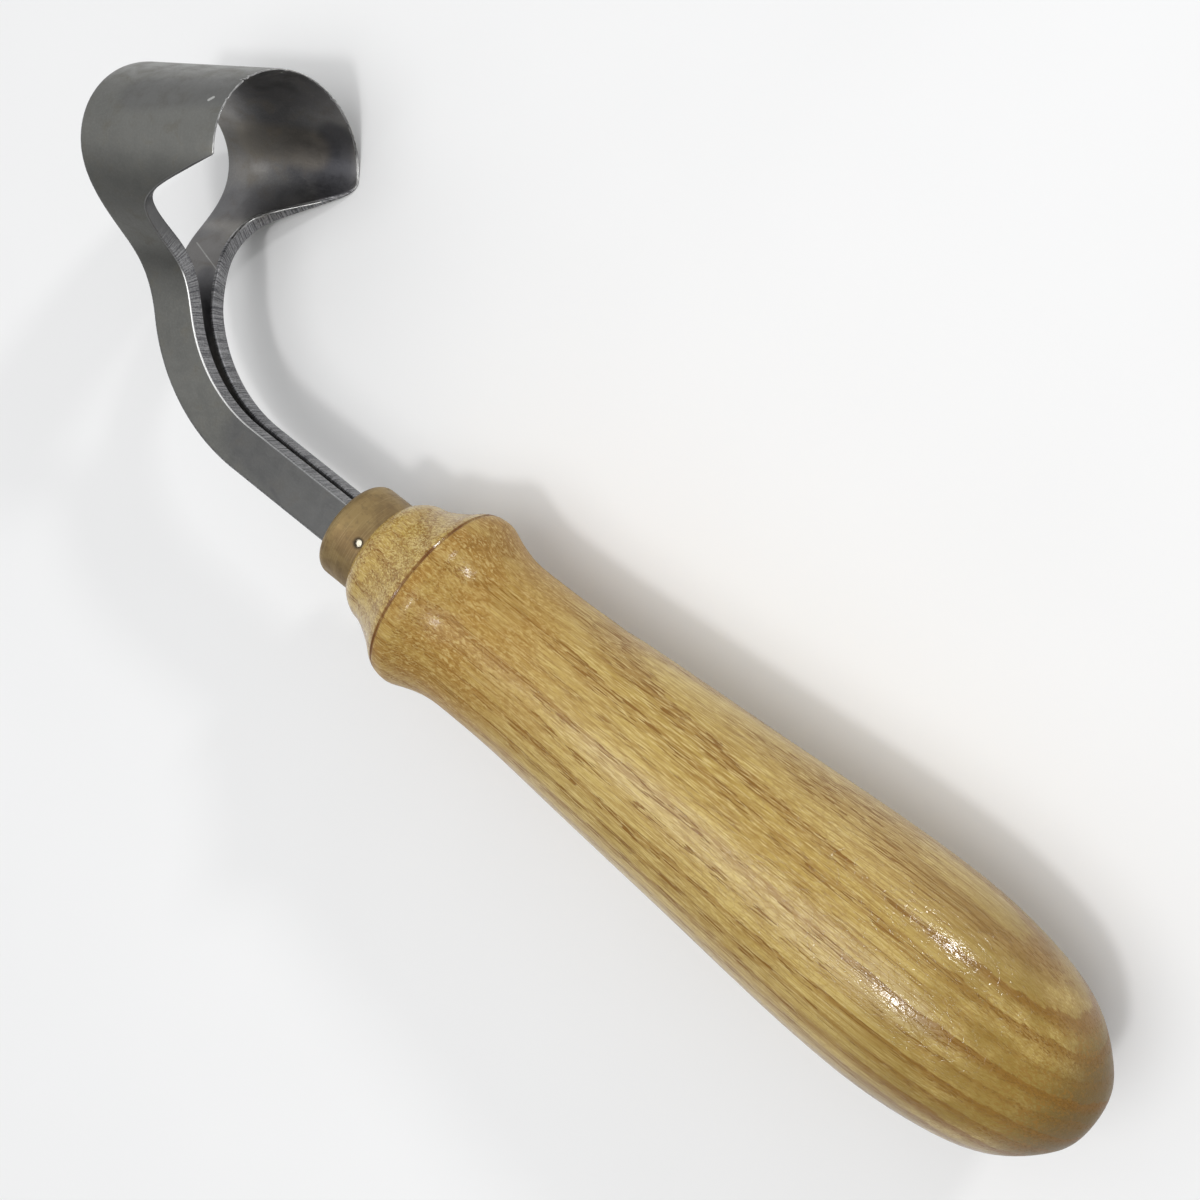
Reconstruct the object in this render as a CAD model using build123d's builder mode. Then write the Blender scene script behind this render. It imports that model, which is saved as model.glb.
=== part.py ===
from build123d import *
from math import cos, radians, sin
import os

os.makedirs("parts", exist_ok=True)

# The tool lies on its side: +X runs along the handle towards the blade, +Z is up.
# The origin is the centre of the front face of the ferrule. All sizes are in mm.

# Steel strip
strip_thickness = 3.0
edge_thickness = 0.25
shank_width = 8.1
leg_gap_root = 2.7
leg_gap_ferrule = 1.7

# Shank, seen from the side
shank_bend_start = 23.3
shank_bend_radius = 29.7
shank_bend_angle = 52.2
tang_length = 50.0

# Loop, seen along its axis
loop_lean = 64.0
loop_half_width = 18.9
crown_height = 13.15
root_below_centre = 27.3
band_width = 26.4
grind_width = 21.0
grind_fade = 0.6

# Notch and neck, measured down from the widest line and back from the cutting edge
corner_drop = 1.5
corner_run = 3.7
corner_slope = 2.57
notch_drop = 11.2
notch_depth = 17.4
neck_setback = 18.45
neck_overlap = 0.35

# Ferrule
ferrule_radius = 8.75
ferrule_wall = 1.0
ferrule_length = 7.6
ferrule_round = 1.8
ferrule_lip_radius = 6.0
fit_gap = 0.02

# Handle
handle_length = 145.9
bore_radius = 5.8
bore_depth = 53.0
bead_start_radius = 8.95
bead_radius = 11.5
bead_x = -11.4
collar_radius = 16.3
collar_x = -21.7
waist_radius = 13.9
waist_x = -37.5
swell_radius = 17.85
swell_x = -112.0
groove_before_collar = 1.9
groove_width = 0.5
groove_depth = 0.18

# Ferrule pin
pin_radius = 0.6
pin_length = 3.0
pin_x = -6.6
pin_angle = 12.0
dimple_radius = 0.8
dimple_depth = 0.35

# The loop stands on the end of the shank, which enters the root of the neck.
# Reference planes of the loop: side_plane looks at the tool from the side with its x axis
# towards the crown and its y axis towards the cutting edge; rim_plane holds the cutting edge.
towards_crown = Vector(cos(radians(loop_lean)), -sin(radians(loop_lean)), 0)
towards_edge = Vector(-sin(radians(loop_lean)), -cos(radians(loop_lean)), 0)
shank_end_x = shank_bend_start + shank_bend_radius * sin(radians(shank_bend_angle))
shank_end_y = -shank_bend_radius * (1 - cos(radians(shank_bend_angle)))
loop_centre = (
    Vector(shank_end_x, shank_end_y, 0)
    + towards_crown * (root_below_centre - neck_overlap)
    + towards_edge * neck_setback
)
side_plane = Plane(loop_centre, x_dir=towards_crown, z_dir=(0, 0, -1))
rim_plane = Plane(loop_centre, x_dir=towards_crown, z_dir=towards_edge)

# Middle of the strip across the gap, at the root of the loop and beyond the end of the tangs
leg_root_z = (leg_gap_root + strip_thickness) / 2
ferrule_drop = -side_plane.to_local_coords(Vector(0, 0, 0)).X
leg_slope = (leg_gap_root - leg_gap_ferrule) / 2 / (ferrule_drop - root_below_centre)
leg_end_drop = ferrule_drop + tang_length
leg_end_z = leg_root_z - leg_slope * (leg_end_drop - root_below_centre)


# Middle line of the folded strip, seen along the axis of the loop, with the crown along x
def strip_line():
    side = [
        (-root_below_centre, leg_root_z),
        (-0.8 * root_below_centre, 1.25 * leg_root_z),
        (-0.6 * root_below_centre, 0.34 * loop_half_width),
        (-0.4 * root_below_centre, 0.65 * loop_half_width),
        (-0.2 * root_below_centre, 0.91 * loop_half_width),
        (0, loop_half_width),
    ]
    with BuildLine() as line:
        flare = Spline(*side, tangents=[(1, leg_slope), (1, 0)])
        crown = EllipticalCenterArc((0, 0), crown_height, loop_half_width, start_angle=0, arc_size=90)
        leg = Line((-leg_end_drop, leg_end_z), side[0])
        mirror(about=Plane.XZ)
    return line.line


# Outline of the whole strip seen from the side, as a solid right through the loop
def side_outline():
    with BuildPart() as outline:
        with BuildSketch(Plane.XY):
            with BuildLine() as shank_line:
                Line((-tang_length, 0), (shank_bend_start, 0))
                bend = RadiusArc((shank_bend_start, 0), (shank_end_x, shank_end_y), shank_bend_radius)
                PolarLine(bend @ 1, neck_overlap, direction=bend % 1)
            trace(line_width=shank_width)
        with BuildSketch(side_plane):
            with BuildLine():
                far_edge = Spline(
                    (-root_below_centre, -neck_setback - shank_width / 2),
                    (-0.5 * root_below_centre, -0.96 * band_width),
                    (0, -band_width),
                    tangents=[(1, -0.25), (1, 0)],
                )
                near_edge = Spline(
                    (-root_below_centre, -neck_setback + shank_width / 2),
                    (-0.64 * root_below_centre, 1.4 - notch_depth),
                    (-notch_drop, -notch_depth),
                    (2.9 - notch_drop, 1.6 - notch_depth),
                    (-corner_drop - corner_run, -corner_slope * corner_run),
                    tangents=[(1, -0.1), (1, corner_slope)],
                )
                Polyline(
                    near_edge @ 1,
                    (-corner_drop, 0),
                    (loop_half_width, 0),
                    (loop_half_width, -band_width),
                    far_edge @ 1,
                )
                Line(far_edge @ 0, near_edge @ 0)
            make_face()
        extrude(amount=2 * loop_half_width, both=True)
    return outline.part


# The folded strip: its middle surface cut to the side outline, then given its thickness square
# to the surface, so that the edge faces stand square to the wide faces as on a cut sheet.
def folded_strip(thickness):
    outline = side_outline()
    reach = leg_end_drop + band_width
    back_plane = rim_plane.offset(-band_width - 10)
    with BuildPart() as strip:
        for edge in strip_line().edges():
            wall = Face.extrude(back_plane.location * edge, towards_edge * 1.5 * reach)
            thicken((wall & outline).faces()[0], amount=thickness / 2, both=True)
    return strip.part


# Hollow of the loop at one line of the grind: the inner face of the strip, set back into the
# strip by a depth that is full round the crown and fades out down the sides
def loop_hollow(depth):
    inset = strip_thickness / 2
    with BuildSketch() as hollow:
        with BuildLine():
            EllipticalCenterArc(
                (0, 0),
                crown_height - inset + depth,
                loop_half_width - inset + depth,
                start_angle=0,
                arc_size=90,
            )
            side = Spline(
                (0, loop_half_width - inset + depth),
                (-0.2 * root_below_centre, 0.91 * loop_half_width - 1.12 * inset + depth),
                (-0.4 * root_below_centre, 0.65 * loop_half_width - 1.38 * inset + 0.7 * depth),
                (-0.6 * root_below_centre, 0.34 * loop_half_width - 1.4 * inset - grind_fade),
                tangents=[(-1, 0), (-1, -0.8)],
            )
            Line(side @ 1, (-0.6 * root_below_centre, 0))
            mirror(about=Plane.XZ)
        make_face()
    return hollow.sketch


# Grind on the inner face of the loop: it leaves the strip at its far line and reaches a thin
# edge at the rim, and the cutter runs past both
def inside_grind():
    over = 2.0
    slope = (strip_thickness - edge_thickness) / grind_width
    with BuildPart() as grind:
        with BuildSketch(rim_plane.offset(-grind_width - over)):
            add(loop_hollow(-over * slope))
        with BuildSketch(rim_plane.offset(over)):
            add(loop_hollow((grind_width + over) * slope))
        loft(ruled=True)
    return grind.part


with BuildPart() as blade:
    add(folded_strip(strip_thickness))
    add(inside_grind(), mode=Mode.SUBTRACT)

blade.part.label = "blade"
export_step(blade.part, "parts/blade.step")

# Brass sleeve with its front edge spun over the wood, drilled and dimpled for the pin
tenon_radius = ferrule_radius - ferrule_wall - fit_gap
pin_direction = (0, -sin(radians(pin_angle)), cos(radians(pin_angle)))
pin_plane = Plane((pin_x, 0, 0), x_dir=(1, 0, 0), z_dir=pin_direction)
with BuildPart() as ferrule:
    with BuildSketch(Plane.XY):
        with BuildLine():
            Polyline(
                (-ferrule_length, ferrule_radius - ferrule_wall),
                (-ferrule_length, ferrule_radius),
                (-ferrule_round, ferrule_radius),
            )
            RadiusArc((-ferrule_round, ferrule_radius), (0, ferrule_radius - ferrule_round), ferrule_round)
            Polyline(
                (0, ferrule_radius - ferrule_round),
                (0, ferrule_lip_radius),
                (-ferrule_wall, ferrule_lip_radius),
                (-ferrule_wall, ferrule_radius - ferrule_round),
            )
            RadiusArc(
                (-ferrule_wall, ferrule_radius - ferrule_round),
                (-ferrule_round, ferrule_radius - ferrule_wall),
                ferrule_wall - ferrule_round,
            )
            Line(
                (-ferrule_round, ferrule_radius - ferrule_wall),
                (-ferrule_length, ferrule_radius - ferrule_wall),
            )
        make_face()
    revolve(axis=Axis.X)
    with Locations(pin_plane):
        Cylinder(
            pin_radius + fit_gap,
            2 * ferrule_radius,
            align=(Align.CENTER, Align.CENTER, Align.MIN),
            mode=Mode.SUBTRACT,
        )
    with Locations(pin_plane.offset(ferrule_radius)):
        Cone(dimple_radius / 2, dimple_radius, 2 * dimple_depth, mode=Mode.SUBTRACT)

ferrule.part.label = "ferrule"
export_step(ferrule.part, "parts/ferrule.step")

# Brass pin, its head just under the surface of the sleeve
with BuildPart() as ferrule_pin:
    with BuildSketch(pin_plane.offset(ferrule_radius - dimple_depth)):
        Circle(pin_radius)
    extrude(amount=-pin_length)

ferrule_pin.part.label = "ferrule_pin"
export_step(ferrule_pin.part, "parts/ferrule_pin.step")

# Turned ash handle: tenon, bead, groove, collar, waist, swell and round butt
turning_marks = [
    (-ferrule_length - fit_gap, bead_start_radius),
    (bead_x, bead_radius),
    (collar_x, collar_radius),
    (waist_x, waist_radius),
    (swell_x, swell_radius),
    (-handle_length, 0),
]


# One swept stretch of the turned profile, between two neighbouring turning marks. Each share
# says how far its point is on from the first mark to the second, in length and in radius.
def turned(first, shares, tangents):
    (start_x, start_radius), (end_x, end_radius) = turning_marks[first : first + 2]
    points = [(start_x, start_radius)]
    for along, across in shares:
        x = start_x + along * (end_x - start_x)
        points.append((x, start_radius + across * (end_radius - start_radius)))
    points.append((end_x, end_radius))
    return Spline(*points, tangents=tangents)


with BuildPart() as handle:
    with BuildSketch(Plane.XY):
        with BuildLine():
            bead = turned(0, [(0.365, 0.61)], [(-0.35, 1), (-1, 0.12)])
            rise = turned(1, [(0.23, 0.17), (0.58, 0.62)], [(-1, 0.12), (-1, 0)])
            turned(2, [(0.12, 0.21), (0.3, 0.645)], [(-1, 0), (-1, 0)])
            turned(3, [(0.22, 0.2), (0.62, 0.66)], [(-1, 0), (-1, 0)])
            butt = turned(4, [(0.454, 0.08), (0.77, 0.293), (0.932, 0.574)], [(-1, 0), (0, -1)])
            Polyline(
                butt @ 1,
                (-ferrule_wall - fit_gap, 0),
                (-ferrule_wall - fit_gap, tenon_radius - ferrule_round + ferrule_wall),
                (-ferrule_round - fit_gap, tenon_radius),
                (-ferrule_length - fit_gap, tenon_radius),
                bead @ 0,
            )
        make_face()
        groove_mark = rise.find_intersection_points(Axis((collar_x + groove_before_collar, 0), (0, 1)))[0]
        along = rise.tangent_at(groove_mark)
        outward = Vector(along.Y, -along.X)
        with BuildLine():
            Polyline(
                groove_mark - along * groove_width + outward * groove_depth,
                groove_mark - outward * groove_depth,
                groove_mark + along * groove_width + outward * groove_depth,
                close=True,
            )
        make_face(mode=Mode.SUBTRACT)
    revolve(axis=Axis.X)
    with BuildSketch(Plane.YZ):
        Circle(bore_radius)
    extrude(amount=-bore_depth, mode=Mode.SUBTRACT)
    with Locations(pin_plane):
        Cylinder(
            pin_radius + fit_gap,
            2 * ferrule_radius,
            align=(Align.CENTER, Align.CENTER, Align.MIN),
            mode=Mode.SUBTRACT,
        )

handle.part.label = "handle"
export_step(handle.part, "parts/handle.step")

# Resin filling the bore round the two tangs
with BuildPart() as tang_adhesive:
    with BuildSketch(Plane.YZ.offset(-ferrule_wall - fit_gap)):
        Circle(bore_radius)
    extrude(amount=ferrule_wall + fit_gap - bore_depth)
    add(blade.part, mode=Mode.SUBTRACT)
    add(ferrule_pin.part, mode=Mode.SUBTRACT)

tang_adhesive.part.label = "tang_adhesive"
export_step(tang_adhesive.part, "parts/tang_adhesive.step")
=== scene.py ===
import math

import bpy
import numpy as np
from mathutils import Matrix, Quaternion, Vector


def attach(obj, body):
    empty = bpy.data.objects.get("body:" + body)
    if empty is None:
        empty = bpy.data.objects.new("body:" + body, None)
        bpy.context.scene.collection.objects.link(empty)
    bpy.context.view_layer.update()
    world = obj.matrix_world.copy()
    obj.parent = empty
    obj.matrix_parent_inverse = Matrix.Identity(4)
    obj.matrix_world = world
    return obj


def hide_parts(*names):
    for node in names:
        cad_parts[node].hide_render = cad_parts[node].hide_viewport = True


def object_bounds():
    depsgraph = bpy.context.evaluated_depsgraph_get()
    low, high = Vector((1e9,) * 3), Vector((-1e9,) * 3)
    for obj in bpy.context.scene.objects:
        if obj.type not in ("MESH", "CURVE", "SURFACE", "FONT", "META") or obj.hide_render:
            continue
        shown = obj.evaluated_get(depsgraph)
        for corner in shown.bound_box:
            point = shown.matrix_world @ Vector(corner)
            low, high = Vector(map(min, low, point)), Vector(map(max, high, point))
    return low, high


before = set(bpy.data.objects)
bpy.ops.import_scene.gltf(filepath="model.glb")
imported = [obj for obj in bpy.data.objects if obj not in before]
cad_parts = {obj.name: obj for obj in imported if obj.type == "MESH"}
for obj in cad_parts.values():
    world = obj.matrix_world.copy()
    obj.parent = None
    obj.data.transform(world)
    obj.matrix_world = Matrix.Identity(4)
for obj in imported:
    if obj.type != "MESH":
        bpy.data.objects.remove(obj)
cad_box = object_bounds()

MM = 0.001

# Camera: a 45 mm lens on a 36 mm frame, high over the butt of the handle and rolled so that the
# loop is at the upper left and the butt at the lower right
camera_place = Vector((-106.316, -89.773, 213.385)) * MM
camera_target = Vector((-43.36, -16.344, 0.0)) * MM
camera_roll = -104.32
camera_data = bpy.data.cameras.new("camera")
camera_data.lens = 45
camera_data.sensor_width = 36
camera_data.clip_start = 0.005
camera_data.clip_end = 20
camera = bpy.data.objects.new("camera", camera_data)
camera.location = camera_place
camera.rotation_mode = "QUATERNION"
aim = (camera_target - camera_place).to_track_quat("-Z", "Y")
camera.rotation_quaternion = aim @ Quaternion((0, 0, 1), math.radians(camera_roll))
bpy.context.scene.collection.objects.link(camera)
bpy.context.scene.camera = camera


# Links an object into the scene
def place(name, data):
    thing = bpy.data.objects.new(name, data)
    bpy.context.scene.collection.objects.link(thing)
    return thing


# Colours of the ash: the clean late wood, the porous early wood and what varnish and heat did
ash_gold = (0.45, 0.310, 0.074)
ash_pale = (0.55, 0.405, 0.130)
ash_light = (0.66, 0.52, 0.22)
ash_brown = (0.27, 0.140, 0.026)
ash_orange = (0.34, 0.175, 0.036)
ash_olive = (0.25, 0.155, 0.024)
ash_pore = (0.21, 0.092, 0.008)
ash_dusk = (0.13, 0.080, 0.024)
ash_burnt = (0.16, 0.062, 0.016)


# Node graph of one material, with places on the surface in millimetres
class Finish:
    def __init__(self, name):
        self.material = bpy.data.materials.new(name)
        self.material.use_nodes = True
        self.tree = self.material.node_tree
        self.shader = self.tree.nodes["Principled BSDF"]
        place_node = self.tree.nodes.new("ShaderNodeTexCoord")
        self.place = self.scaled(place_node.outputs["Object"], (1 / MM,) * 3)
        self.normal = place_node.outputs["Normal"]

    # Plugs a socket or sets a value on one input
    def set(self, node, name, value):
        if isinstance(value, bpy.types.NodeSocket):
            self.tree.links.new(value, node.inputs[name])
        else:
            node.inputs[name].default_value = value

    def scaled(self, vector, factors, offset=(0, 0, 0)):
        node = self.tree.nodes.new("ShaderNodeMapping")
        self.set(node, "Vector", vector)
        self.set(node, "Scale", factors)
        self.set(node, "Location", offset)
        return node.outputs["Vector"]

    # Vector along the strip and across it, in millimetres, from the named map
    def strip_place(self):
        node = self.tree.nodes.new("ShaderNodeUVMap")
        node.uv_map = "strip"
        return self.scaled(node.outputs["UV"], (1000, 1000, 1))

    def axis(self, vector, name):
        node = self.tree.nodes.new("ShaderNodeSeparateXYZ")
        self.set(node, "Vector", vector)
        return node.outputs[name]

    # Noise with its number of cycles per millimetre along each axis
    def noise(self, per_mm, detail=3.0, rough=0.5, distort=0.0, vector=None, offset=(0, 0, 0)):
        node = self.tree.nodes.new("ShaderNodeTexNoise")
        self.set(node, "Vector", self.scaled(vector or self.place, per_mm, offset))
        self.set(node, "Scale", 1.0)
        self.set(node, "Detail", detail)
        self.set(node, "Roughness", rough)
        self.set(node, "Distortion", distort)
        return node.outputs["Fac"]

    # Distance to the nearest line of a net of cracks, in cells
    def cracks(self, per_mm):
        node = self.tree.nodes.new("ShaderNodeTexVoronoi")
        node.feature = "DISTANCE_TO_EDGE"
        wander = self.vector_math("SCALE", self.noise_colour((0.8, 1.6, 1.6)))
        self.set(wander, "Scale", 0.5)
        cells = self.vector_math("ADD", self.scaled(self.place, per_mm), wander.outputs["Vector"])
        self.set(node, "Vector", cells.outputs["Vector"])
        self.set(node, "Scale", 1.0)
        return node.outputs["Distance"]

    def noise_colour(self, per_mm):
        node = self.tree.nodes.new("ShaderNodeTexNoise")
        self.set(node, "Vector", self.scaled(self.place, per_mm))
        self.set(node, "Scale", 1.0)
        self.set(node, "Detail", 2.0)
        return node.outputs["Color"]

    # Noise that depends on one value alone
    def ripple(self, value, per_unit):
        node = self.tree.nodes.new("ShaderNodeTexNoise")
        node.noise_dimensions = "1D"
        self.set(node, "W", value)
        self.set(node, "Scale", per_unit)
        return node.outputs["Fac"]

    def vector_math(self, operation, a, b=(0.0, 0.0, 0.0)):
        node = self.tree.nodes.new("ShaderNodeVectorMath")
        node.operation = operation
        self.set(node, 0, a)
        self.set(node, 1, b)
        return node

    # One short straight mark between two places on the surface, in millimetres
    def stroke(self, start, end, width):
        start, end = Vector(start), Vector(end)
        way = end - start
        away = self.vector_math("SUBTRACT", self.place, start).outputs["Vector"]
        down = self.vector_math("DOT_PRODUCT", away, way / way.length_squared).outputs["Value"]
        down = self.math("MINIMUM", self.math("MAXIMUM", down, 0.0), 1.0)
        node = self.vector_math("SCALE", way)
        self.set(node, "Scale", down)
        gap = self.vector_math("DISTANCE", away, node.outputs["Vector"]).outputs["Value"]
        return self.span(gap, 0.5 * width, 0.25 * width)

    def math(self, operation, a, b=0.0):
        node = self.tree.nodes.new("ShaderNodeMath")
        node.operation = operation
        self.set(node, 0, a)
        self.set(node, 1, b)
        return node.outputs[0]

    # Maps a value from one range to another, smoothly and without running past the ends
    def span(self, value, low, high, to_low=0.0, to_high=1.0):
        node = self.tree.nodes.new("ShaderNodeMapRange")
        node.interpolation_type = "SMOOTHSTEP"
        self.set(node, "Value", value)
        self.set(node, "From Min", low)
        self.set(node, "From Max", high)
        self.set(node, "To Min", to_low)
        self.set(node, "To Max", to_high)
        return node.outputs["Result"]

    def mix(self, share, a, b, blend="MIX"):
        node = self.tree.nodes.new("ShaderNodeMix")
        node.data_type = "RGBA"
        node.blend_type = blend
        self.set(node, "Factor", share)
        for name, value in (("A", a), ("B", b)):
            socket = [s for s in node.inputs if s.name == name and s.type == "RGBA"][0]
            if isinstance(value, bpy.types.NodeSocket):
                self.tree.links.new(value, socket)
            else:
                socket.default_value = (*value, 1.0)
        return [s for s in node.outputs if s.type == "RGBA"][0]

    def bump(self, height, depth_mm, normal=None):
        node = self.tree.nodes.new("ShaderNodeBump")
        self.set(node, "Height", height)
        self.set(node, "Distance", depth_mm * MM)
        self.set(node, "Strength", 1.0)
        if normal:
            self.set(node, "Normal", normal)
        return node.outputs["Normal"]

    def finish(self, colour, roughness, normal=None, **fixed):
        self.set(self.shader, "Base Color", colour if not isinstance(colour, tuple) else (*colour, 1))
        self.set(self.shader, "Roughness", roughness)
        if normal:
            self.set(self.shader, "Normal", normal)
        for name, value in fixed.items():
            self.set(self.shader, name.replace("_", " ").title().replace("Ior", "IOR"), value)
        return self.material


# Ash: growth rings about a pith far to one side, dark porous early wood, pores drawn out along
# the grain, darker crackled wood where the turning cuts across the fibres, a burnt line in the
# groove and a thin clear varnish
def ash_finish():
    f = Finish("ash")
    ring_width = 3.1
    pith_y, pith_z = -96.0, 16.0
    drift = f.noise((0.010, 0.03, 0.03), 2.0)
    flutter = f.noise((0.03, 0.35, 0.35), 3.0, offset=(3, 7, 1))
    from_pith = f.scaled(f.place, (1, 1, 1), (0, -pith_y, -pith_z))
    away_y, away_z = f.axis(from_pith, "Y"), f.axis(from_pith, "Z")
    squares = f.math("ADD", f.math("MULTIPLY", away_y, away_y), f.math("MULTIPLY", away_z, away_z))
    reach = f.math("ADD", f.math("SQRT", squares), f.math("MULTIPLY", drift, 7.0))
    reach = f.math("ADD", reach, f.math("MULTIPLY", flutter, 1.5))
    ragged = f.noise((0.35, 1.3, 1.3), 3.0, 0.65, offset=(6, 1, 8))
    reach = f.math("ADD", reach, f.math("MULTIPLY", ragged, 0.9))
    ring = f.math("DIVIDE", reach, ring_width)
    phase = f.math("FRACT", ring)
    early = f.math("MULTIPLY", f.span(phase, 0.0, 0.08), f.span(phase, 0.7, 0.22))
    early = f.math("MULTIPLY", early, f.span(f.ripple(ring, 0.55), 0.3, 0.62, 0.3, 1.0))
    streak = f.noise((0.016, 1.3, 1.3), 3.0, 0.6, offset=(2, 5, 3))
    fibre = f.noise((0.032, 3.0, 3.0), 4.0, 0.72)
    fine = f.noise((0.07, 5.5, 5.5), 2.0, 0.6)
    grit = f.noise((0.45, 4.5, 4.5), 3.0, 0.7)
    pores = f.span(f.noise((0.13, 3.6, 3.6), 1.5, 0.5, offset=(5, 2, 9)), 0.575, 0.605)
    pores = f.math("MULTIPLY", pores, f.span(early, 0.08, 0.5, 0.28, 1.0))
    patch = f.noise((0.02, 0.09, 0.09), 2.0, offset=(11, 0, 4))
    colour = f.mix(f.span(patch, 0.35, 0.65), ash_gold, ash_pale)
    colour = f.mix(f.math("MULTIPLY", early, 0.7), colour, ash_brown)
    colour = f.mix(f.span(streak, 0.42, 0.66, 0.0, 0.45), colour, ash_brown)
    colour = f.mix(f.span(fibre, 0.42, 0.66, 0.0, 0.6), colour, ash_brown)
    colour = f.mix(f.span(fine, 0.48, 0.68, 0.0, 0.7), colour, ash_light)
    colour = f.mix(f.span(grit, 0.5, 0.66, 0.0, 0.22), colour, ash_light)
    colour = f.mix(f.span(grit, 0.48, 0.33, 0.0, 0.2), colour, ash_brown)
    colour = f.mix(f.math("MULTIPLY", pores, 0.9), colour, ash_pore)


    x = f.axis(f.place, "X")
    cracked = f.span(f.noise((0.05, 0.10, 0.10), 3.0, offset=(7, 3, 5)), 0.3, 0.48, 0.35, 1.0)
    cracked = f.math("MULTIPLY", cracked, f.span(x, -60.0, -88.0))
    crack = f.math("MULTIPLY", f.span(f.cracks((0.62, 1.0, 1.0)), 0.09, 0.0), cracked)
    colour = f.mix(f.math("MULTIPLY", crack, 0.3), colour, ash_brown)
    slope = f.math("ABSOLUTE", f.axis(f.normal, "X"))
    behind = f.math("MULTIPLY", f.span(x, -62.0, -24.0), f.span(x, -19.6, -20.6))
    butt = f.span(x, -100.0, -128.0)
    end = f.span(slope, 0.3, 0.75)
    crossed = f.math("MULTIPLY", f.span(slope, 0.10, 0.45), f.span(slope, 0.85, 0.55))
    crossed = f.math("MAXIMUM", crossed, behind)
    crumb = f.noise((0.9, 2.2, 2.2), 2.5, 0.65, 0.8, offset=(1, 8, 2))
    blotch = f.noise((0.11, 0.17, 0.17), 3.0, 0.6)
    patchy = f.span(blotch, 0.32, 0.6, 0.3, 1.0)
    colour = f.mix(f.math("MULTIPLY", f.math("MULTIPLY", behind, patchy), 0.72), colour, ash_orange)
    colour = f.mix(f.math("MULTIPLY", f.math("MULTIPLY", butt, patchy), 0.8), colour, ash_olive)
    colour = f.mix(f.math("MULTIPLY", f.math("MULTIPLY", butt, end), 0.85), colour, ash_dusk)
    colour = f.mix(f.math("MULTIPLY", butt, f.math("MULTIPLY", early, 0.65)), colour, ash_pore)
    crumbled = f.math("MULTIPLY", crossed, f.span(blotch, 0.36, 0.56, 0.25, 1.0))
    colour = f.mix(f.math("MULTIPLY", crumbled, f.span(crumb, 0.51, 0.58, 0.0, 0.8)), colour, ash_brown)
    curled = f.math("MULTIPLY", crumbled, f.span(butt, 0.0, 0.5, 1.0, 0.12))
    colour = f.mix(f.math("MULTIPLY", curled, f.span(crumb, 0.45, 0.38, 0.0, 0.45)), colour, ash_light)

    line = f.math("MULTIPLY", f.span(x, -20.35, -19.95), f.span(x, -19.3, -19.65))
    line = f.math("MULTIPLY", line, f.span(f.noise((0.3, 0.3, 0.3), 3.0), 0.3, 0.55, 0.5, 1.0))
    colour = f.mix(f.math("MULTIPLY", line, 0.95), colour, ash_burnt)

    height = f.math("SUBTRACT", f.math("MULTIPLY", fibre, 0.5), pores)
    height = f.math("ADD", height, f.math("MULTIPLY", crumb, f.span(crossed, 0.0, 1.0, 0.3, 1.0)))
    grain = f.bump(height, 0.05)
    ripple = f.noise((1.1, 2.0, 2.0), 3.0, 0.6, 0.5)
    ripple = f.math("SUBTRACT", ripple, f.math("MULTIPLY", f.math("ADD", crack, pores), 0.6))
    varnish = f.bump(ripple, 0.030)
    rough = f.span(pores, 0.0, 1.0, 0.45, 0.65)
    dull = f.math("MAXIMUM", f.math("MAXIMUM", behind, line), f.math("MULTIPLY", butt, end))
    gloss = f.span(dull, 0.0, 1.0, 0.7, 0.22)
    return f.finish(
        colour, rough, grain, coat_weight=gloss, coat_roughness=0.11, coat_ior=1.5,
        coat_normal=varnish, specular_ior_level=0.1,
    )


# Satin steel of the wide faces, with faint stains and any marks given for one face, among them painted glints
# and painted dark reflections
def steel_finish(name, pale, dark, stain, roughness, marks=()):
    f = Finish(name)
    strip = f.strip_place()
    cloud = f.noise((0.06, 0.06, 0.06), 3.0)
    mottle = f.noise((0.35, 0.35, 0.35), 4.0, 0.62, 0.4)
    brush = f.noise((0.25, 6.0, 1.0), 4.0, 0.65, vector=strip)
    grain = f.noise((2.6, 2.6, 2.6), 3.0, 0.7)
    colour = f.mix(f.span(cloud, 0.35, 0.65), pale, dark)
    colour = f.mix(f.span(mottle, 0.48, 0.75, 0.0, 0.5), colour, stain)
    colour = f.mix(f.span(brush, 0.35, 0.7, 0.0, 0.16), colour, tuple(v * 0.62 for v in pale))
    colour = f.mix(f.span(grain, 0.4, 0.7, 0.0, 0.2), colour, tuple(v * 1.35 for v in pale))
    for start, end, width, tone, share in marks:
        colour = f.mix(f.math("MULTIPLY", f.stroke(start, end, width), share), colour, tone)
    rough = f.span(mottle, 0.3, 0.7, roughness - 0.05, roughness + 0.08)
    height = f.math("ADD", f.math("MULTIPLY", brush, 0.5), f.math("MULTIPLY", grain, 0.5))
    return f.finish(colour, rough, f.bump(height, 0.02), metallic=1.0)
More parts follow.
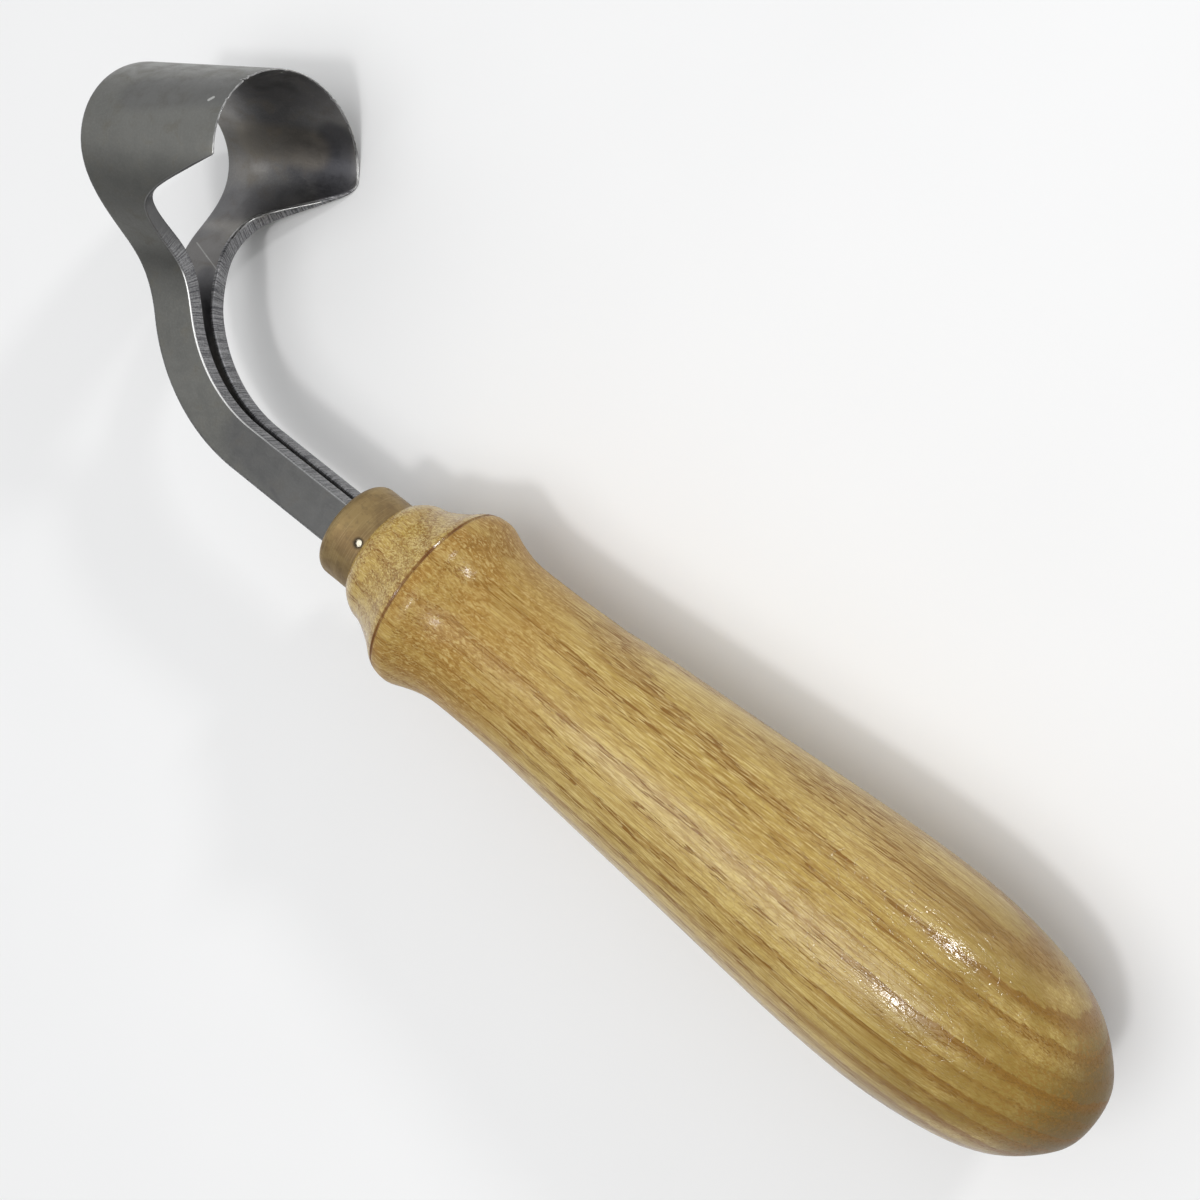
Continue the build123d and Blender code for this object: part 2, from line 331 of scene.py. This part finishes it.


# Edge faces of the strip, with the dark marks of a coarse wheel straight across them. The wheel did not reach
# into the notch of the upper leg. A faint painted highlight runs along the outer corner of the upper leg, and a
# bright painted highlight lies on that outer corner below the notch.
def edge_finish():
    f = Finish("steel_edge")
    strip = f.strip_place()
    hatch = f.noise((3.3, 0.10, 1.0), 3.0, 0.8, vector=strip)
    speck = f.noise((3.0, 2.0, 1.0), 3.0, 0.7, vector=strip)
    tone = f.math("ADD", f.math("MULTIPLY", hatch, 0.7), f.math("MULTIPLY", speck, 0.3))
    x, y, z = (f.axis(f.place, name) for name in "XYZ")
    back = f.vector_math("SUBTRACT", f.place, (*loop_centre, 0.0)).outputs["Vector"]
    back = f.vector_math("DOT_PRODUCT", back, (*edge_way, 0.0)).outputs["Value"]
    missed = f.math("MULTIPLY", f.span(y, -21.0, -25.0), f.span(z, 0.0, 1.0))
    missed = f.math("MULTIPLY", missed, f.span(back, -23.0, -20.0))
    ground = f.mix(f.span(tone, 0.40, 0.60), (0.10, 0.10, 0.107), (0.34, 0.34, 0.345))
    colour = f.mix(missed, ground, (0.15, 0.15, 0.15))
    across = f.axis(strip, "Y")
    line = f.math("MULTIPLY", f.span(across, 0.0, 0.06), f.span(across, 0.34, 0.24))
    # Faint painted highlight along the outer corner of the upper leg
    faint = f.math("MULTIPLY", line, f.span(z, 0.0, 1.0))
    colour = f.mix(f.math("MULTIPLY", faint, 0.5), colour, (0.34, 0.34, 0.33))
    # Bright painted highlight along the same corner below the notch
    bright_corner = f.math("MULTIPLY", f.span(y, -19.6, -18.8), f.span(x, 14.0, 36.0))
    bright_corner = f.math("MULTIPLY", faint, bright_corner)
    colour = f.mix(f.math("MULTIPLY", bright_corner, 0.85), colour, (0.85, 0.85, 0.84))
    return f.finish(colour, f.span(tone, 0.3, 0.7, 0.55, 0.4), f.bump(tone, 0.05), metallic=1.0)


# Honed metal of the cutting edge and of the bright corners
def honed_finish():
    f = Finish("steel_honed")
    strip = f.strip_place()
    marks = f.noise((0.8, 5.0, 1.0), 3.0, 0.6, vector=strip)
    colour = f.mix(f.span(marks, 0.35, 0.65), (0.20, 0.20, 0.20), (0.50, 0.50, 0.49))
    return f.finish(colour, f.span(marks, 0.3, 0.7, 0.25, 0.4), metallic=1.0)


# Dull brass with brown patina, turning lines round it and painted shade in a dark ring round the pin
pin_foot, pin_head = (-6.6, -1.70, 8.0), (-6.6, -1.91, 9.0)


def brass_finish():
    f = Finish("brass")
    cloud = f.noise((0.16, 0.16, 0.16), 4.0, 0.6, 0.5)
    mottle = f.noise((0.9, 0.9, 0.9), 4.0, 0.65)
    turning = f.noise((5.0, 0.15, 0.15), 3.0)
    colour = f.mix(f.span(cloud, 0.35, 0.62), (0.32, 0.225, 0.098), (0.215, 0.142, 0.064))
    colour = f.mix(f.span(mottle, 0.48, 0.7, 0.0, 0.5), colour, (0.19, 0.135, 0.07))
    colour = f.mix(f.span(turning, 0.5, 0.7, 0.0, 0.25), colour, (0.46, 0.35, 0.18))
    # Painted shade: a near-black ring round the pin where it sits in the ferrule
    ring = f.stroke(pin_foot, pin_head, 2.5)
    colour = f.mix(f.math("MULTIPLY", ring, 0.95), colour, (0.04, 0.028, 0.016))
    rough = f.span(mottle, 0.3, 0.7, 0.40, 0.58)
    height = f.math("ADD", f.math("MULTIPLY", turning, 0.5), mottle)
    return f.finish(colour, rough, f.bump(height, 0.03), metallic=0.75)


def pin_finish():
    f = Finish("pin_brass")
    marks = f.noise((3.0, 3.0, 3.0), 3.0)
    colour = f.mix(marks, (0.95, 0.86, 0.62), (1.0, 0.96, 0.85))
    return f.finish(colour, f.span(marks, 0.3, 0.7, 0.16, 0.3), metallic=1.0)


def resin_finish():
    f = Finish("resin")
    cloud = f.noise((0.8, 0.8, 0.8), 3.0)
    colour = f.mix(cloud, (0.16, 0.11, 0.05), (0.28, 0.20, 0.10))
    return f.finish(colour, f.span(cloud, 0.3, 0.7, 0.3, 0.5), f.bump(cloud, 0.1))


def floor_finish():
    f = Finish("floor")
    speckle = f.noise((0.02, 0.02, 0.02), 2.0)
    colour = f.mix(speckle, (0.83, 0.83, 0.83), (0.86, 0.86, 0.86))
    return f.finish(colour, 0.7)


# Driving sizes of the folded blade, in millimetres, as in the solid that it stands for
strip_thickness = 3.0
shank_half_width = 4.05
tang_length = 50.0
bend_start = 23.3
bend_radius = 29.7
bend_angle = math.radians(52.2)
lean = math.radians(64.0)
half_width = 18.9
crown_height = 13.15
root_drop = 27.3
band_width = 26.4
grind_width = 21.0
edge_thickness = 0.25
root_z = 2.85
ferrule_z = 2.35
neck_setback = 18.45
neck_overlap = 0.35


# Smooth curve through given points with given end slopes, as a function
def through(points, first_slope, last_slope):
    x = np.array([p[0] for p in points], float)
    y = np.array([p[1] for p in points], float)
    h = np.diff(x)
    rise = np.diff(y) / h
    n = len(x)
    rows = np.zeros((n, n))
    rows[0, 0] = rows[-1, -1] = 1.0
    wanted = np.zeros(n)
    wanted[0], wanted[-1] = first_slope, last_slope
    for i in range(1, n - 1):
        rows[i, i - 1] = 1 / h[i - 1]
        rows[i, i] = 2 / h[i - 1] + 2 / h[i]
        rows[i, i + 1] = 1 / h[i]
        wanted[i] = 3 * (rise[i - 1] / h[i - 1] + rise[i] / h[i])
    slopes = np.linalg.solve(rows, wanted)

    def value(at):
        at = np.asarray(at, float)
        i = np.clip(np.searchsorted(x, at) - 1, 0, n - 2)
        t = (at - x[i]) / h[i]
        return (
            y[i] * (1 + 2 * t) * (1 - t) ** 2
            + slopes[i] * h[i] * t * (1 - t) ** 2
            + y[i + 1] * t * t * (3 - 2 * t)
            + slopes[i + 1] * h[i] * t * t * (t - 1)
        )

    return value


# Places in the side view: down is measured along the lean of the loop from its widest line,
# back from the cutting edge
crown_way = np.array([math.cos(lean), -math.sin(lean)])
edge_way = np.array([-math.sin(lean), -math.cos(lean)])
shank_end = np.array([
    bend_start + bend_radius * math.sin(bend_angle),
    -bend_radius * (1 - math.cos(bend_angle)),
])
loop_centre = shank_end + crown_way * (root_drop - neck_overlap) + edge_way * neck_setback


def to_loop(point):
    away = np.asarray(point) - loop_centre
    return np.array([away @ crown_way, away @ edge_way])


ferrule_drop = to_loop((0, 0))[0]
leg_slope = (root_z - ferrule_z) / (-root_drop - ferrule_drop)
flare = through(
    [
        (-root_drop, root_z),
        (-0.8 * root_drop, 1.25 * root_z),
        (-0.6 * root_drop, 0.34 * half_width),
        (-0.4 * root_drop, 0.65 * half_width),
        (-0.2 * root_drop, 0.91 * half_width),
        (0, half_width),
    ],
    leg_slope,
    0.0,
)


# Height of the middle of the strip over the plane between the legs
def leg_height(down):
    down = np.asarray(down, float)
    straight = root_z + leg_slope * (down + root_drop)
    return np.where(down < -root_drop, straight, flare(np.maximum(down, -root_drop)))


corner_drop = 1.5
corner_run = 3.7
corner_slope = 2.57
notch_drop = 11.2
notch_depth = 17.4
near_start = to_loop(shank_end) + shank_half_width * np.array([
    math.sin(lean - bend_angle), math.cos(lean - bend_angle),
])
far_start = to_loop(shank_end) - shank_half_width * np.array([
    math.sin(lean - bend_angle), math.cos(lean - bend_angle),
])
neck_slope = -math.tan(lean - bend_angle)
near_notch = through(
    [
        tuple(near_start),
        (-0.64 * root_drop, 1.4 - notch_depth),
        (-notch_drop, -notch_depth),
        (2.9 - notch_drop, 1.6 - notch_depth),
        (-corner_drop - corner_run, -corner_slope * corner_run),
    ],
    neck_slope,
    corner_slope,
)
far_neck = through(
    [tuple(far_start), (-0.5 * root_drop, -0.96 * band_width), (0, -band_width)],
    neck_slope,
    0.0,
)


# Near edge of one leg: notch, straight run up to the corner, and the corner eased over a
# short stretch on each side
def near_edge(down, ease):
    down = np.asarray(down, float)
    run = corner_slope * np.minimum(down + corner_drop, 0)
    past = down + corner_drop
    eased = -corner_slope * (past - ease) ** 2 / (4 * ease)
    run = np.where(np.abs(past) < ease, eased, run)
    return np.where(down < -corner_drop - corner_run, near_notch(down), run)


# One crosswise line of the strip: where it starts at the far edge and ends at the near edge in
# the side view, and how the middle surface is found from a place on it
def leg_station(far, near, side):
    def surface(share):
        down = far[0] + (near[0] - far[0]) * share
        back = far[1] + (near[1] - far[1]) * share
        height = leg_height(down)
        tilt = (leg_height(down + 0.01) - leg_height(down - 0.01)) / 0.02
        length = np.sqrt(1 + tilt * tilt)
        return down, back, side * height, -tilt / length, side / length

    return surface


def crown_station(angle, near):
    down, height = crown_height * math.cos(angle), half_width * math.sin(angle)
    out = np.array([math.cos(angle) / crown_height, math.sin(angle) / half_width])
    out /= np.linalg.norm(out)

    def surface(share):
        back = -band_width + (near + band_width) * share
        one = np.ones_like(share)
        return down * one, back, height * one, out[0] * one, out[1] * one

    return surface


# Share of the full grind at a place down the side of the loop
def grind_share(down):
    t = np.clip((down + 0.62 * root_drop) / (0.32 * root_drop), 0, 1)
    return t * t * (3 - 2 * t)


# Nicks of the cutting edge: place round the crown in degrees from its top, width and depth
nicks = [(44.0, 0.26, 0.75), (39.5, 0.2, 0.35), (9.5, 0.32, 0.6), (-31.0, 0.2, 0.2), (63.0, 0.2, 0.2)]


def nick_depth(angle):
    depth = 0.0
    for at, width, deep in nicks:
        away = math.radians(math.degrees(angle) - at) * 0.5 * (crown_height + half_width)
        depth += deep * math.exp(-((away / width) ** 2))
    return depth


# All crosswise lines, from the end of one tang round the loop to the end of the other
def stations():
    found = []
    for side, ease in ((-1, 1.5), (1, 0.2)):
        leg = []
        for x in np.arange(-tang_length, bend_start, 1.2):
            leg.append((to_loop((x, shank_half_width)), to_loop((x, -shank_half_width))))
        for turn in np.linspace(0, bend_angle, 70):
            centre = np.array([bend_start, -bend_radius])
            way = np.array([math.sin(turn), math.cos(turn)])
            outer = centre + way * (bend_radius + shank_half_width)
            inner = centre + way * (bend_radius - shank_half_width)
            leg.append((to_loop(outer), to_loop(inner)))
        neck = np.linspace(0, 1, 190)[1:]
        for share in neck:
            near_down = near_start[0] * (1 - share)
            far_down = far_start[0] * (1 - share)
            near = (near_down, float(near_edge(near_down, ease)))
            leg.append(((far_down, float(far_neck(far_down))), near))
        leg = [leg_station(far, near, side) for far, near in leg]
        found.append(leg)
    crown = []
    for angle in np.linspace(-math.pi / 2, math.pi / 2, 420)[1:-1]:
        crown.append(crown_station(angle, -nick_depth(angle)))
    return found[0] + crown + found[1][::-1]


# Section of the strip on one crosswise line: places across it from the far edge, offsets from
# the middle surface, and the finish of the stretch that starts at each place. Finishes are
# 0 outer face, 1 inner face, 2 edge face, 3 honed metal.
OUTER, INNER, EDGE, HONED = range(4)
corner_radius = 0.32
hone_width = 0.18
hone_drop = 0.03
outer_count, inner_count = 26, 27
near_corner = outer_count + 1
far_corner = near_corner + 11 + inner_count


# The lower leg gets the bright honed metal along its inner corner beside the notch
def inner_corner_finish(side, down):
    bright_corner = side < 0 and -0.5 * root_drop < down < -0.14 * root_drop
    return HONED if bright_corner else EDGE


def section(width, skew, near_back, share, inner_corner, rim):
    half = strip_thickness / 2
    grind = (strip_thickness - edge_thickness) / grind_width * share

    def inner(u):
        return -half + np.clip(u - width + near_back + grind_width, 0, None) * grind

    near_inner = float(inner(np.array(width)))
    near_radius = min(corner_radius, 0.42 * (half - near_inner))
    spread = near_radius / skew
    hone = hone_width / skew if rim else 0.5
    drop = hone_drop if rim else 0.0
    across, offset, kind = [], [], []

    def add(us, vs, finish):
        across.extend(us)
        offset.extend(vs)
        kind.extend([finish] * len(us))

    turn = np.linspace(0, math.pi / 2, 5)
    flat = np.linspace(corner_radius, width - spread - hone, outer_count)
    add(flat, np.full(outer_count, half), OUTER)
    add([width - spread - hone * 0.5], [half - drop * 0.5], HONED if rim else OUTER)
    near_top = half - drop
    add(
        width - spread + spread * np.sin(turn),
        near_top - near_radius * (1 - np.cos(turn)),
        HONED if rim else EDGE,
    )
    low = near_inner + near_radius
    add([width], [0.5 * (near_top - near_radius + low)], HONED if rim else EDGE)
    add(
        width - spread + spread * np.cos(turn),
        near_inner + near_radius * (1 - np.sin(turn)),
        HONED if rim else inner_corner,
    )
    back = np.linspace(width - spread - 0.3, corner_radius, inner_count)
    add(back, inner(back), INNER)
    add(
        corner_radius - corner_radius * np.sin(turn)[1:],
        -half + corner_radius * (1 - np.cos(turn))[1:],
        EDGE,
    )
    add([0.0], [0.0], EDGE)
    add(
        corner_radius - corner_radius * np.cos(turn)[:-1],
        half - corner_radius + corner_radius * np.sin(turn)[:-1],
        EDGE,
    )
    return np.array(across), np.array(offset), kind


def build_blade():
    lines = stations()
    ends = []
    for surface in lines:
        down, back, height, _, _ = surface(np.array([0.0, 0.5, 1.0]))
        ends.append(np.stack([down, back, height], axis=1))
    ends = np.array(ends)
    along = np.concatenate([[0], np.cumsum(np.linalg.norm(np.diff(ends[:, 1], axis=0), axis=1))])
    edge_run = np.gradient(ends[:, 2], axis=0)
    points, maps, kinds = [], [], []
    for i, surface in enumerate(lines):
        reach = ends[i, 2] - ends[i, 0]
        reach = np.array([reach[0], reach[1], 0])
        width = np.linalg.norm(reach)
        way = reach / width
        run = np.array([*edge_run[i, :2], edge_run[i, 2]])
        skew = np.linalg.norm(np.cross(way, run)) / np.linalg.norm(run)
        down = float(ends[i, 1, 0])
        inner_corner = inner_corner_finish(1 if ends[i, 1, 2] > 0 else -1, float(ends[i, 2, 0]))
        near_down, near_back = float(ends[i, 2, 0]), float(ends[i, 2, 1])
        rim = near_down > -corner_drop and near_back > -0.6
        across, offset, kind = section(
            width, max(skew, 0.35), near_back, grind_share(down), inner_corner, rim
        )
        down, back, height, lean_down, lean_height = surface(across / width)
        down = down + offset * lean_down
        height = height + offset * lean_height
        flat = loop_centre + np.outer(down, crown_way) + np.outer(back, edge_way)
        points.append(np.column_stack([flat, height]))
        steps = np.hypot(np.diff(across), np.diff(offset))
        travel = np.concatenate([[0], np.cumsum(steps)])
        travel = travel - np.where(np.arange(len(travel)) < far_corner, travel[near_corner], travel[far_corner])
        maps.append(np.column_stack([np.full(len(across), along[i]), travel]))
        kinds.append(kind)
    count = len(kinds[0])
    vertices = np.concatenate(points) * MM
    faces, slots, corners = [], [], []
    for i in range(len(lines) - 1):
        for j in range(count):
            k = (j + 1) % count
            faces.append((i * count + j, i * count + k, (i + 1) * count + k, (i + 1) * count + j))
            slots.append(min(kinds[i][j], kinds[i + 1][j]) if kinds[i][j] != kinds[i + 1][j] else kinds[i][j])
            wrap = maps[i][j] + [0, 0.3] if k == 0 else maps[i][k]
            wrap_next = maps[i + 1][j] + [0, 0.3] if k == 0 else maps[i + 1][k]
            corners += [maps[i][j], wrap, wrap_next, maps[i + 1][j]]
    for first in (0, (len(lines) - 1) * count):
        cap = list(range(first, first + count))
        faces.append(cap if first else cap[::-1])
        slots.append(2)
        corners += [maps[0][0]] * count
    mesh = bpy.data.meshes.new("folded_blade")
    mesh.from_pydata([tuple(v) for v in vertices], [], faces)
    mesh.polygons.foreach_set("material_index", slots)
    mesh.polygons.foreach_set("use_smooth", [True] * len(faces))
    layer = mesh.uv_layers.new(name="strip")
    layer.data.foreach_set("uv", (np.array(corners) * MM).ravel())
    mesh.validate()
    mesh.update()
    return mesh


# Marks on the outer face: painted glints where burrs stand beside the edge, and painted dark reflections on the
# neck and near the crown. Marks on the inner face:
# painted dark reflections under the crown and low down, brown stains between, a faint bright line, and painted
# glints at two nicks.
bright_tone, dark_reflection_tone, brown_tone = (0.75, 0.75, 0.72), (0.09, 0.09, 0.10), (0.27, 0.235, 0.18)
outer_marks = [
    # Painted glints where burrs stand beside the edge
    ((47.8, -48.3, 18.3), (47.5, -48.9, 17.9), 0.7, bright_tone, 0.9),
    ((51.7, -54.2, -3.9), (51.5, -54.3, -4.1), 0.5, bright_tone, 0.5),
    # Painted dark reflections on the neck and near the crown
    ((0.0, 0.0, 4.2), (22.0, -3.0, 4.2), 16.0, dark_reflection_tone, 0.42),
    ((12.0, 3.4, 4.5), (14.6, 2.4, 4.5), 1.6, dark_reflection_tone, 0.6),
    ((60.5, -43.0, 18.0), (46.5, -51.5, 16.5), 10.0, dark_reflection_tone, 0.3),
]
inner_marks = [
    # Painted dark reflections under the crown and low down
    ((60.0, -52.0, 2.0), (47.0, -53.0, -6.0), 24.0, dark_reflection_tone, 0.42),
    ((52.0, -42.0, -18.0), (43.0, -42.0, -19.0), 13.0, dark_reflection_tone, 0.55),
    ((48.0, -48.0, -17.0), (44.0, -38.0, -19.5), 9.0, dark_reflection_tone, 0.5),
    ((60.0, -28.0, -14.0), (50.0, -34.0, -17.0), 11.0, dark_reflection_tone, 0.45),
    ((56.0, -22.0, -6.0), (44.0, -14.0, -3.0), 12.0, dark_reflection_tone, 0.4),
    ((49.4, -18.2, -2.9), (43.0, -14.5, -1.3), 5.0, dark_reflection_tone, 0.5),
    ((48.3, -48.1, -17.3), (45.9, -41.0, -19.5), 9.0, dark_reflection_tone, 0.45),
    ((50.0, -43.0, -18.8), (48.0, -43.0, -19.0), 9.0, dark_reflection_tone, 0.4),
    ((62.0, -40.0, -15.0), (52.0, -44.0, -17.0), 10.0, brown_tone, 0.4),
    ((56.8, -20.9, -6.5), (52.3, -20.6, -4.6), 0.35, bright_tone, 0.22),
    ((52.3, -20.6, -4.6), (48.3, -20.2, -3.3), 0.35, bright_tone, 0.22),
    # Painted glints at two nicks of the cutting edge
    ((50.0, -55.5, 2.0), (49.8, -55.5, 2.3), 0.5, bright_tone, 0.7),
    ((47.0, -54.0, 12.7), (46.9, -53.9, 13.0), 0.5, bright_tone, 0.6),
]
blade_mesh = build_blade()
blade_mesh.materials.append(steel_finish(
    "steel_outer", (0.200, 0.200, 0.187), (0.168, 0.168, 0.157), (0.152, 0.140, 0.112), 0.38,
    outer_marks,
))
blade_mesh.materials.append(steel_finish(
    "steel_inner", (0.25, 0.24, 0.225), (0.18, 0.18, 0.185), (0.21, 0.18, 0.14), 0.38, inner_marks,
))
blade_mesh.materials.append(edge_finish())
blade_mesh.materials.append(honed_finish())
blade = place("folded_blade", blade_mesh)
normals = blade.modifiers.new("weighted_normals", "WEIGHTED_NORMAL")
normals.mode = "FACE_AREA"
normals.weight = 60
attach(blade, "root")
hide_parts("blade")


# Gives a carried-over piece its finish
def dress(node, material, crisp=30):
    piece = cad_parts[node]
    piece.data.materials.clear()
    piece.data.materials.append(material)


dress("handle", ash_finish())
dress("ferrule", brass_finish())
dress("ferrule_pin", pin_finish())
dress("tang_adhesive", resin_finish())

# Pale floor that the loop and the swell of the handle rest on
floor_half = 3.0
floor_z = cad_box[0].z
floor_mesh = bpy.data.meshes.new("floor")
floor_corners = [(-1, -1), (1, -1), (1, 1), (-1, 1)]
floor_mesh.from_pydata([(x * floor_half, y * floor_half, floor_z) for x, y in floor_corners], [], [(0, 1, 2, 3)])
floor_mesh.materials.append(floor_finish())
place("floor", floor_mesh)

# Soft studio light: a pale room, brighter beyond the loop than behind the butt, and broad lamps
bright_way = (0.87, -0.35, 0.35)
room_dim, room_bright = 0.32, 0.86
world = bpy.data.worlds.new("studio")
world.use_nodes = True
room = world.node_tree
direction = room.nodes.new("ShaderNodeTexCoord")
towards = room.nodes.new("ShaderNodeVectorMath")
towards.operation = "DOT_PRODUCT"
towards.inputs[1].default_value = bright_way
strength = room.nodes.new("ShaderNodeMapRange")
strength.inputs["From Min"].default_value = 0.0
strength.inputs["From Max"].default_value = 1.0
strength.inputs["To Min"].default_value = room_dim
strength.inputs["To Max"].default_value = room_bright
room.links.new(direction.outputs["Generated"], towards.inputs[0])
room.links.new(towards.outputs["Value"], strength.inputs["Value"])
room.links.new(strength.outputs["Result"], room.nodes["Background"].inputs["Strength"])
room.nodes["Background"].inputs["Color"].default_value = (0.98, 0.99, 1.0, 1)
bpy.context.scene.world = world
bpy.context.scene.view_settings.view_transform = "Standard"


def lamp(name, way, distance, size, power):
    data = bpy.data.lights.new(name, "AREA")
    data.shape = "DISK"
    data.size = size
    data.energy = power
    thing = place(name, data)
    middle = Vector((-0.04, -0.02, 0))
    way = Vector(way).normalized()
    thing.location = middle + way * distance
    thing.rotation_mode = "QUATERNION"
    thing.rotation_quaternion = way.to_track_quat("Z", "Y")


lamp("overhead", (0.0, 0.1, 1.0), 0.9, 0.7, 3.2)
lamp("key", (-0.16, 0.13, 0.97), 0.9, 0.10, 1.4)
lamp("side", (-0.2, -0.89, 0.40), 0.9, 0.10, 2.0)
